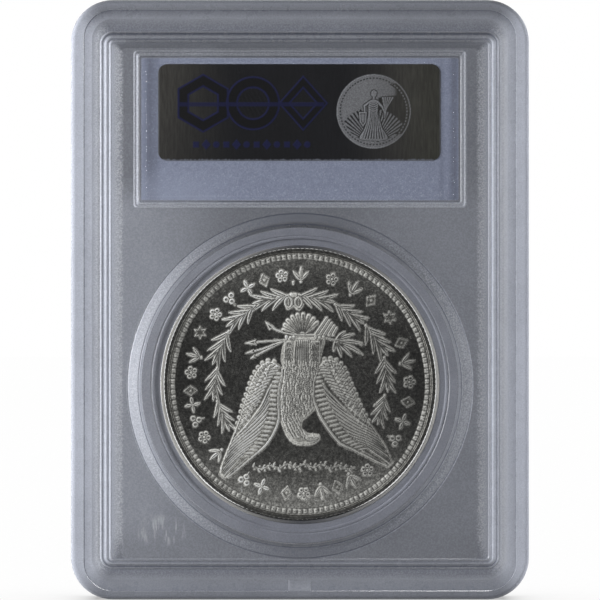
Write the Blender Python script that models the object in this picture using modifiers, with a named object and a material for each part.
"""Graded coin slab: a sealed, clear plastic holder for one large silver coin.

Two moulded half shells are welded round their edge. Between them a clear
gasket ring holds the coin under a round window, and a printed card with a
foil security seal on its back lies under a rectangular window.

Frame: metres, +Z up. The slab stands on its bottom edge. X is its width,
Z its height and Y its thickness. The origin is the middle of the bottom edge,
on the weld seam between the two shells. The back of the slab, with the foil
seal, faces -Y, and the front, with the printed side of the card, faces +Y.
"""

import math

import bmesh
import bpy
from mathutils import Matrix

MM = 0.001

# Slab envelope
SLAB_W = 64.0 * MM
SLAB_H = 83.8 * MM
SLAB_T = 7.6 * MM
CORNER_R = 5.87 * MM
EDGE_ROUND = 0.6 * MM  # rounding of the outer rim edge
SEAM_GAP = 0.05 * MM  # weld seam left between the shells

# Raised stacking rim, and the ledge one step below it
RIM_SIDE = 1.8 * MM  # width of the rim at the sides
RIM_TOP = 1.4 * MM
RIM_BOTTOM = 1.2 * MM
LEDGE_DROP = 0.35 * MM
SLOPE_START = 3.1 * MM  # frosted slope from the ledge down to the panel
SLOPE_END = 4.1 * MM
PANEL_DROP = 0.9 * MM  # rim face to the flat panel
PANEL_T = 1.5 * MM  # plate thickness of the panel and of the windows
GATE_W = 3.2 * MM  # injection gate land that bridges the ledge at the bottom

# Weld joint in the edge wall
WALL_SIDE = 4.1 * MM  # edge wall thickness
WALL_TOP = 4.4 * MM
WALL_BOTTOM = 4.2 * MM
GROOVE_IN, GROOVE_OUT, GROOVE_DEPTH = 1.75 * MM, 2.65 * MM, 0.55 * MM
RIDGE_IN, RIDGE_OUT, RIDGE_RISE = 1.95 * MM, 2.45 * MM, 0.40 * MM
TONGUE_GAP, TONGUE_T, TONGUE_RISE = 0.3 * MM, 0.9 * MM, 0.9 * MM

# Round coin window
BOSS_Z = 29.85 * MM
BOSS_R = 24.05 * MM  # foot of the bevelled boss
WINDOW_R = 22.5 * MM  # polished window inside the bevel
BOSS_RISE = 0.4 * MM
RING_Z = 30.0 * MM
WELL_R = 22.45 * MM
WELL_WALL_R = 23.35 * MM
WELL_FLOOR = 1.8 * MM  # half distance between the two window inner faces

# Gasket ring
RING_R = 22.3 * MM
RING_LIP_R = 20.5 * MM
RING_BORE_R = 19.2 * MM
RING_HALF_T = 1.7 * MM
RING_LIP_HALF_T = 1.35 * MM

# Coin
COIN_Z = 30.08 * MM
COIN_R = 19.05 * MM
COIN_HALF_T = 1.2 * MM
COIN_RIM_W = 1.15 * MM
COIN_FIELD_DROP = 0.2 * MM

# Label window, pocket frame, card and seal
LABEL_X = 23.3 * MM
LABEL_LO, LABEL_HI = 54.7 * MM, 76.8 * MM
LABEL_BEVEL = 0.65 * MM
LABEL_RISE = 0.25 * MM
FRAME_T = 0.6 * MM
CLAMP_T = 1.7 * MM
CARD_X = 22.55 * MM
CARD_LO, CARD_HI = 55.45 * MM, 76.05 * MM
CARD_Y0, CARD_Y1 = 0.12 * MM, 0.37 * MM
CARD_R = 0.5 * MM
SEAL_X = 19.85 * MM
SEAL_SHIFT = -0.1 * MM
SEAL_LO, SEAL_HI = 61.4 * MM, 74.9 * MM
SEAL_Y0, SEAL_Y1 = -0.03 * MM, 0.10 * MM
SEAL_R = 1.35 * MM

CORNER_SEGMENTS = 8
ROUND_STEPS = 96
INSIDE = 0.5 * MM  # how far a joined shape reaches into the plate it grows from
BEYOND = 0.8 * MM  # how far a cutter reaches past the face it opens


# ---------------------------------------------------------------- scene
for old in list(bpy.data.objects):
    bpy.data.objects.remove(old, do_unlink=True)

parts = bpy.data.collections.new("graded_coin_slab")
tools = bpy.data.collections.new("cutters")
for group in (parts, tools):
    bpy.context.scene.collection.children.link(group)
tools.hide_render = True

slab = bpy.data.objects.new("slab_origin", None)
parts.objects.link(slab)


def material(name, colour, rough, metal=0.0, alpha=1.0):
    mat = bpy.data.materials.new(name)
    mat.use_nodes = True
    node = mat.node_tree.nodes["Principled BSDF"]
    node.inputs["Base Color"].default_value = (*colour, 1.0)
    node.inputs["Roughness"].default_value = rough
    node.inputs["Metallic"].default_value = metal
    node.inputs["Alpha"].default_value = alpha
    mat.diffuse_color = (*colour, alpha)
    return mat


def place(name, bm, y, group, mat=None, smooth=False):
    """An object whose mesh is centred on the slab's axis, placed along Y."""
    bmesh.ops.recalc_face_normals(bm, faces=bm.faces)
    mesh = bpy.data.meshes.new(name)
    bm.to_mesh(mesh)
    bm.free()
    ob = bpy.data.objects.new(name, mesh)
    ob.location = (0.0, y, 0.0)
    group.objects.link(ob)
    ob.parent = slab
    if mat:
        mesh.materials.append(mat)
    if smooth:
        mesh.shade_smooth()
        mesh.set_sharp_from_angle(angle=math.radians(30))
    if group is tools:
        ob.hide_render = True
        ob.display_type = "WIRE"
    return ob


def rounded_block(x_half, z_lo, z_hi, y_lo, y_hi, radius, flare=0.0, shift=0.0, lip=0.0):
    """A block with round corners seen along Y. flare widens its y_hi face all
    round by that much, and lip rounds the edge of its y_hi face."""
    bm = bmesh.new()
    bmesh.ops.create_cube(bm, size=1.0)
    depth, mid_z = y_hi - y_lo, (z_lo + z_hi) / 2
    bmesh.ops.scale(bm, vec=(2 * x_half, depth, z_hi - z_lo), verts=bm.verts)
    upright = [
        e for e in bm.edges if abs(e.verts[0].co.y - e.verts[1].co.y) > depth / 2
    ]
    bmesh.ops.bevel(
        bm, geom=upright, offset=radius, segments=CORNER_SEGMENTS, profile=0.5,
        affect="EDGES", clamp_overlap=False,
    )
    if lip:
        ring = [e for e in bm.edges if all(v.co.y > depth / 2 * 0.999 for v in e.verts)]
        bmesh.ops.bevel(
            bm, geom=ring, offset=lip, segments=3, profile=0.5, affect="EDGES",
            clamp_overlap=False,
        )
    if flare:
        z_half = (z_hi - z_lo) / 2
        for v in bm.verts:
            if v.co.y > 0:
                cx = math.copysign(x_half - radius, v.co.x)
                cz = math.copysign(z_half - radius, v.co.z)
                grow = (radius + flare) / radius
                v.co.x = cx + (v.co.x - cx) * grow
                v.co.z = cz + (v.co.z - cz) * grow
    bmesh.ops.translate(bm, vec=(shift, (y_lo + y_hi) / 2, mid_z), verts=bm.verts)
    return bm


def inset_block(side, top, bottom, y_lo, y_hi, radius, flare=0.0, lip=0.0):
    """A rounded block inset from the slab's outline by three distances."""
    return rounded_block(
        SLAB_W / 2 - side, bottom, SLAB_H - top, y_lo, y_hi, radius, flare, 0.0, lip
    )


def round_block(z, y_lo, y_hi, r_lo, r_hi):
    """A round block or cone with its axis along Y."""
    bm = bmesh.new()
    bmesh.ops.create_cone(
        bm, cap_ends=True, segments=ROUND_STEPS, radius1=r_lo, radius2=r_hi,
        depth=y_hi - y_lo,
    )
    bmesh.ops.rotate(bm, matrix=Matrix.Rotation(math.radians(-90), 3, "X"), verts=bm.verts)
    bmesh.ops.translate(bm, vec=(0.0, (y_lo + y_hi) / 2, z), verts=bm.verts)
    return bm


def mirror_y(bm):
    bmesh.ops.scale(bm, vec=(1, -1, 1), verts=bm.verts)
    bmesh.ops.reverse_faces(bm, faces=bm.faces)
    return bm


def boolean(ob, other, operation):
    mod = ob.modifiers.new(f"{operation.lower()}_{other.name}", "BOOLEAN")
    mod.operation = operation
    mod.solver = "EXACT"
    mod.object = other


def frame_of(name, outer, inner, side):
    """A rectangular or round frame: the outer shape with the inner one cut out."""
    if side < 0:
        mirror_y(outer), mirror_y(inner)
    hole = place(f"{name}_hole", inner, 0.0, tools)
    whole = place(name, outer, 0.0, tools)
    boolean(whole, hole, "DIFFERENCE")
    return whole


# ---------------------------------------------------------------- materials
clear_plastic_back = material("clear_plastic_back", (0.30, 0.33, 0.40), 0.18, 0.0, 0.45)
clear_plastic_front = material("clear_plastic_front", (0.30, 0.33, 0.40), 0.18, 0.0, 0.45)
ring_plastic = material("ring_plastic", (0.32, 0.35, 0.41), 0.25, 0.0, 0.6)
silver = material("silver", (0.52, 0.51, 0.48), 0.28, 1.0)
card_stock = material("card_stock", (0.20, 0.25, 0.36), 0.7)
foil = material("foil", (0.05, 0.05, 0.055), 0.25, 0.8)


# ---------------------------------------------------------------- shells
def shell(name, side, mat):
    """One half shell. side is +1 for the front (+Y) and -1 for the back (-Y).
    Shapes are drawn for the +Y half and mirrored for the other."""

    def tool(label, bm):
        if side < 0:
            mirror_y(bm)
        return place(f"{name}_{label}", bm, 0.0, tools)

    half_t = SLAB_T / 2
    ledge_y = half_t - LEDGE_DROP
    panel_y = half_t - PANEL_DROP
    inner_y = panel_y - PANEL_T
    body_bm = inset_block(0, 0, 0, SEAM_GAP / 2, half_t, CORNER_R, lip=EDGE_ROUND)
    if side < 0:
        mirror_y(body_bm)
    body = place(name, body_bm, 0.0, parts, mat)

    # outside: the ledge, then the sloped fall to the flat panel
    boolean(body, tool("ledge", inset_block(
        RIM_SIDE, RIM_TOP, RIM_BOTTOM, ledge_y, half_t + BEYOND, CORNER_R - RIM_SIDE,
    )), "DIFFERENCE")
    slope = (SLOPE_END - SLOPE_START) / (ledge_y - panel_y)
    cut_top = ledge_y + 0.12 * MM
    boolean(body, tool("panel", inset_block(
        SLOPE_END, SLOPE_END + 0.2 * MM, SLOPE_END, panel_y, cut_top, CORNER_R - SLOPE_END,
        flare=slope * (cut_top - panel_y),
    )), "DIFFERENCE")
    # the gate land stands on the ledge at the middle of the bottom edge
    boolean(body, tool("gate", rounded_block(
        GATE_W / 2, RIM_BOTTOM - 0.3 * MM, 2.1 * MM, ledge_y - INSIDE,
        half_t - 0.02 * MM, 0.15 * MM,
    )), "UNION")
    # bevelled boss of the round window
    fall = (BOSS_R - WINDOW_R) / BOSS_RISE
    foot = panel_y - 0.3 * MM
    boolean(body, tool("coin_boss", round_block(
        BOSS_Z, foot, panel_y + BOSS_RISE, BOSS_R + fall * 0.3 * MM, WINDOW_R,
    )), "UNION")
    # bevelled frame of the label window
    fall = LABEL_BEVEL / LABEL_RISE
    boolean(body, tool("label_boss", rounded_block(
        LABEL_X + fall * 0.3 * MM, LABEL_LO - fall * 0.3 * MM, LABEL_HI + fall * 0.3 * MM,
        foot, panel_y + LABEL_RISE, 0.6 * MM + LABEL_BEVEL + fall * 0.3 * MM,
        flare=-(LABEL_BEVEL + fall * 0.3 * MM),
    )), "UNION")

    # inside: one wide cavity, then the walls that stand in it
    boolean(body, tool("cavity", inset_block(
        WALL_SIDE, WALL_TOP, WALL_BOTTOM, -BEYOND, inner_y, CORNER_R - WALL_SIDE,
    )), "DIFFERENCE")
    rise = 0.1 * MM
    boolean(body, frame_of(
        f"{name}_well_wall",
        round_block(RING_Z, rise, inner_y + INSIDE, WELL_WALL_R, WELL_WALL_R),
        round_block(RING_Z, -BEYOND, inner_y + 2 * INSIDE, WELL_R, WELL_R),
        side,
    ), "UNION")
    boolean(body, tool("well", round_block(
        RING_Z, -BEYOND, WELL_FLOOR, WELL_R, WELL_R,
    )), "DIFFERENCE")
    if side > 0:
        # pad that carries the card, and the frame round the card
        boolean(body, tool("label_pad", rounded_block(
            LABEL_X - 0.2 * MM, LABEL_LO + 0.2 * MM, LABEL_HI - 0.2 * MM, CARD_Y1 + 0.05 * MM,
            inner_y + INSIDE, 0.5 * MM,
        )), "UNION")
        boolean(body, frame_of(
            f"{name}_label_frame",
            rounded_block(LABEL_X, LABEL_LO, LABEL_HI, rise, inner_y + INSIDE - 0.1 * MM, 0.9 * MM),
            rounded_block(LABEL_X - FRAME_T, LABEL_LO + FRAME_T, LABEL_HI - FRAME_T,
                          -BEYOND, inner_y + 2 * INSIDE, 0.5 * MM),
            side,
        ), "UNION")
        # weld ridge, and the tongue that lines up the two halves
        boolean(body, frame_of(
            f"{name}_weld_ridge",
            inset_block(RIDGE_IN, RIDGE_IN, RIDGE_IN, -RIDGE_RISE, INSIDE, CORNER_R - RIDGE_IN),
            inset_block(RIDGE_OUT, RIDGE_OUT, RIDGE_OUT, -BEYOND, 2 * INSIDE, CORNER_R - RIDGE_OUT),
            side,
        ), "UNION")
        a, b = TONGUE_GAP, TONGUE_GAP + TONGUE_T
        boolean(body, frame_of(
            f"{name}_tongue",
            inset_block(WALL_SIDE + a, WALL_TOP + a, WALL_BOTTOM + a, -TONGUE_RISE,
                        inner_y + INSIDE, CORNER_R - WALL_SIDE - a),
            inset_block(WALL_SIDE + b, WALL_TOP + b, WALL_BOTTOM + b, -2 * BEYOND,
                        inner_y + 2 * INSIDE, CORNER_R - WALL_SIDE - b),
            side,
        ), "UNION")
    else:
        # frame that clamps the edge of the card against the front shell's pad
        boolean(body, frame_of(
            f"{name}_label_clamp",
            rounded_block(LABEL_X, LABEL_LO, LABEL_HI, rise, inner_y + INSIDE, 0.9 * MM),
            rounded_block(LABEL_X - CLAMP_T, LABEL_LO + CLAMP_T, LABEL_HI - CLAMP_T,
                          -BEYOND, inner_y + 2 * INSIDE, 0.5 * MM),
            side,
        ), "UNION")
        boolean(body, frame_of(
            f"{name}_weld_groove",
            inset_block(GROOVE_IN, GROOVE_IN, GROOVE_IN, -BEYOND, GROOVE_DEPTH,
                        CORNER_R - GROOVE_IN),
            inset_block(GROOVE_OUT, GROOVE_OUT, GROOVE_OUT, -2 * BEYOND, 2 * GROOVE_DEPTH,
                        CORNER_R - GROOVE_OUT),
            side,
        ), "DIFFERENCE")
    return body


shell("back_shell", -1, clear_plastic_back)
shell("front_shell", 1, clear_plastic_front)


# ---------------------------------------------------------------- turned pieces
def turned(name, profile, closed, z, mat):
    """A profile of (radius, height) points turned round the Y axis."""
    bm = bmesh.new()
    verts = [bm.verts.new((r, 0.0, h)) for r, h in profile]
    for a, b in zip(verts, verts[1:]):
        bm.edges.new((a, b))
    if closed:
        bm.edges.new((verts[-1], verts[0]))
    mesh = bpy.data.meshes.new(name)
    bm.to_mesh(mesh)
    bm.free()
    mesh.materials.append(mat)
    ob = bpy.data.objects.new(name, mesh)
    parts.objects.link(ob)
    ob.parent = slab
    ob.location = (0.0, 0.0, z)
    ob.rotation_euler = (math.radians(90), 0.0, 0.0)
    mod = ob.modifiers.new("turn", "SCREW")
    mod.axis = "Z"
    mod.angle = math.tau
    mod.steps = mod.render_steps = ROUND_STEPS
    mod.use_merge_vertices = True
    mod.merge_threshold = 1e-6
    mod.use_smooth_shade = True
    return ob


r0, r1, r2 = RING_BORE_R, RING_LIP_R, RING_R
t0, t1 = RING_LIP_HALF_T, RING_HALF_T
slant = 0.3 * MM
turned("coin_ring", [
    (r1 + slant, t1), (r2, t1), (r2, -t1), (r1 + slant, -t1), (r1, -t0), (r0, -t0),
    (r0, t0), (r1, t0),
], True, RING_Z, ring_plastic)

f, h, e = COIN_HALF_T - COIN_FIELD_DROP, COIN_HALF_T, 0.1 * MM
turned("coin", [
    (0.0, f), (COIN_R - COIN_RIM_W - 0.3 * MM, f), (COIN_R - COIN_RIM_W, h),
    (COIN_R - e, h), (COIN_R, h - e), (COIN_R, -h + e), (COIN_R - e, -h),
    (COIN_R - COIN_RIM_W, -h), (COIN_R - COIN_RIM_W - 0.3 * MM, -f), (0.0, -f),
], False, COIN_Z, silver)


# ---------------------------------------------------------------- card and seal
place("label_card", rounded_block(
    CARD_X, CARD_LO, CARD_HI, CARD_Y0, CARD_Y1, CARD_R,
), 0.0, parts, card_stock)
place("foil_seal", rounded_block(
    SEAL_X, SEAL_LO, SEAL_HI, SEAL_Y0, SEAL_Y1, SEAL_R, shift=SEAL_SHIFT,
), 0.0, parts, foil)
